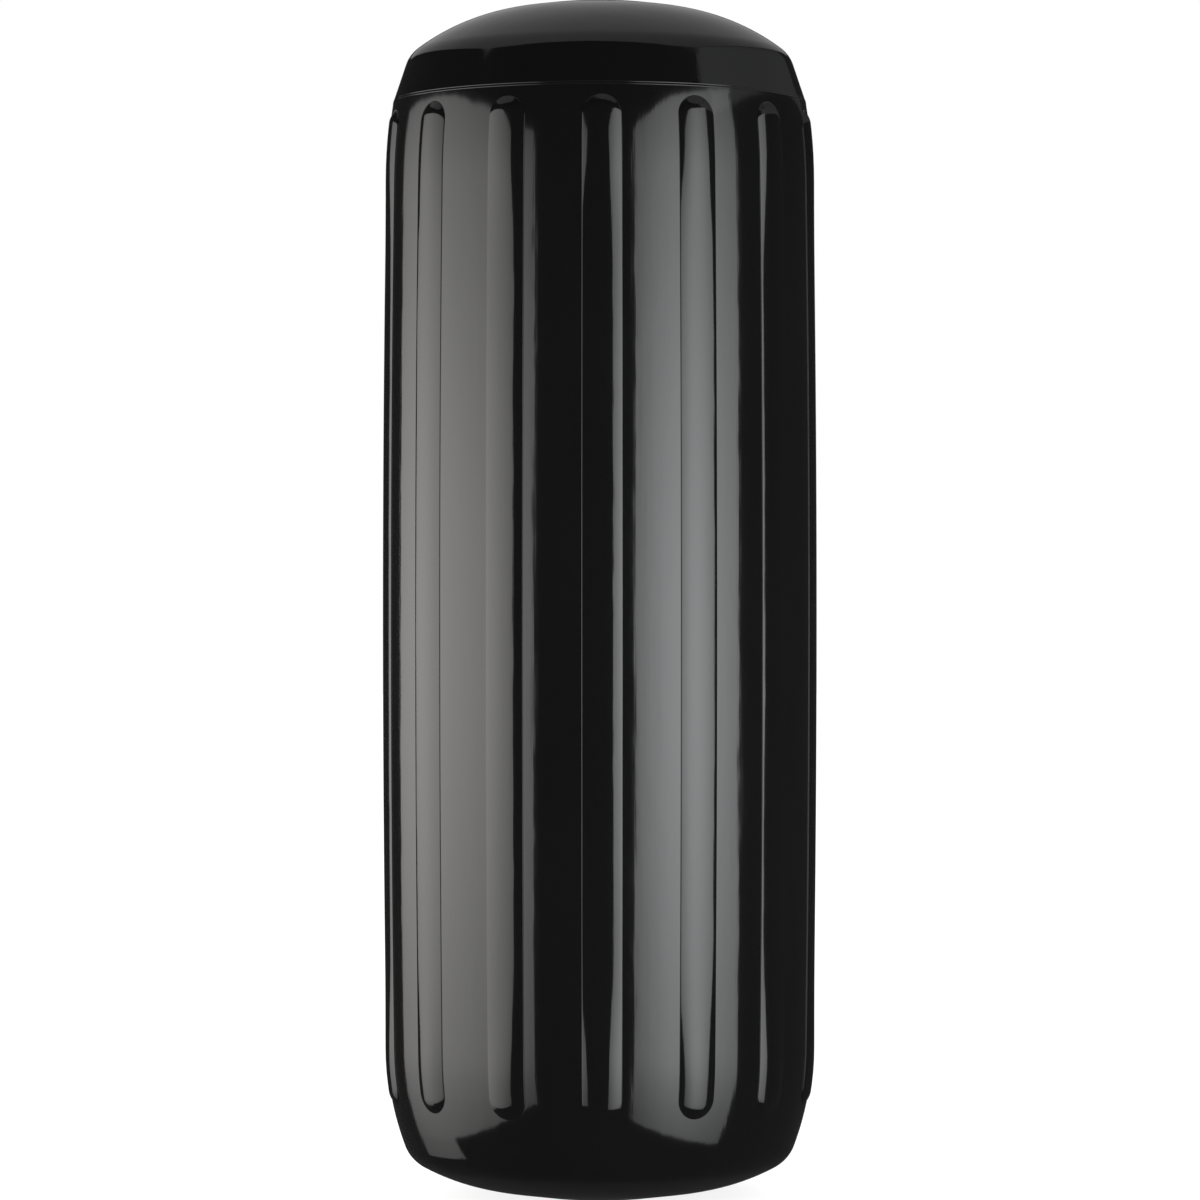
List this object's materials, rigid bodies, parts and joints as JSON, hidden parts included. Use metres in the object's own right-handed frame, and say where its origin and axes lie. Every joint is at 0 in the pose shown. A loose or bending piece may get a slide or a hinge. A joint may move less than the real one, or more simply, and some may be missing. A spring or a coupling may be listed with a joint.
{
  "type": "pneumatic fender",
  "caption": "Black inflatable vinyl boat fender: a ribbed barrel moulded in one piece, with a rope tube through its middle and an inflation valve in one end.",
  "frame": {"origin": "on the fender's axis, in the plane of the lower end's flat ring, on which it stands", "axes": "+Z along the rope tube towards the valve end, -Y towards the picture's camera, one rib facing it"},
  "size_m": [0.3152, 0.3212, 0.864],
  "materials": {
    "vinyl_skin": "glossy moulded soft vinyl",
    "valve_bush": "satin soft moulding",
    "valve_screw": "satin moulded nylon"
  },
  "bodies": {
    "root": {"fender_body": "vinyl_skin", "valve_body": "valve_bush", "valve_screw": "valve_screw"}
  },
  "joints": []
}
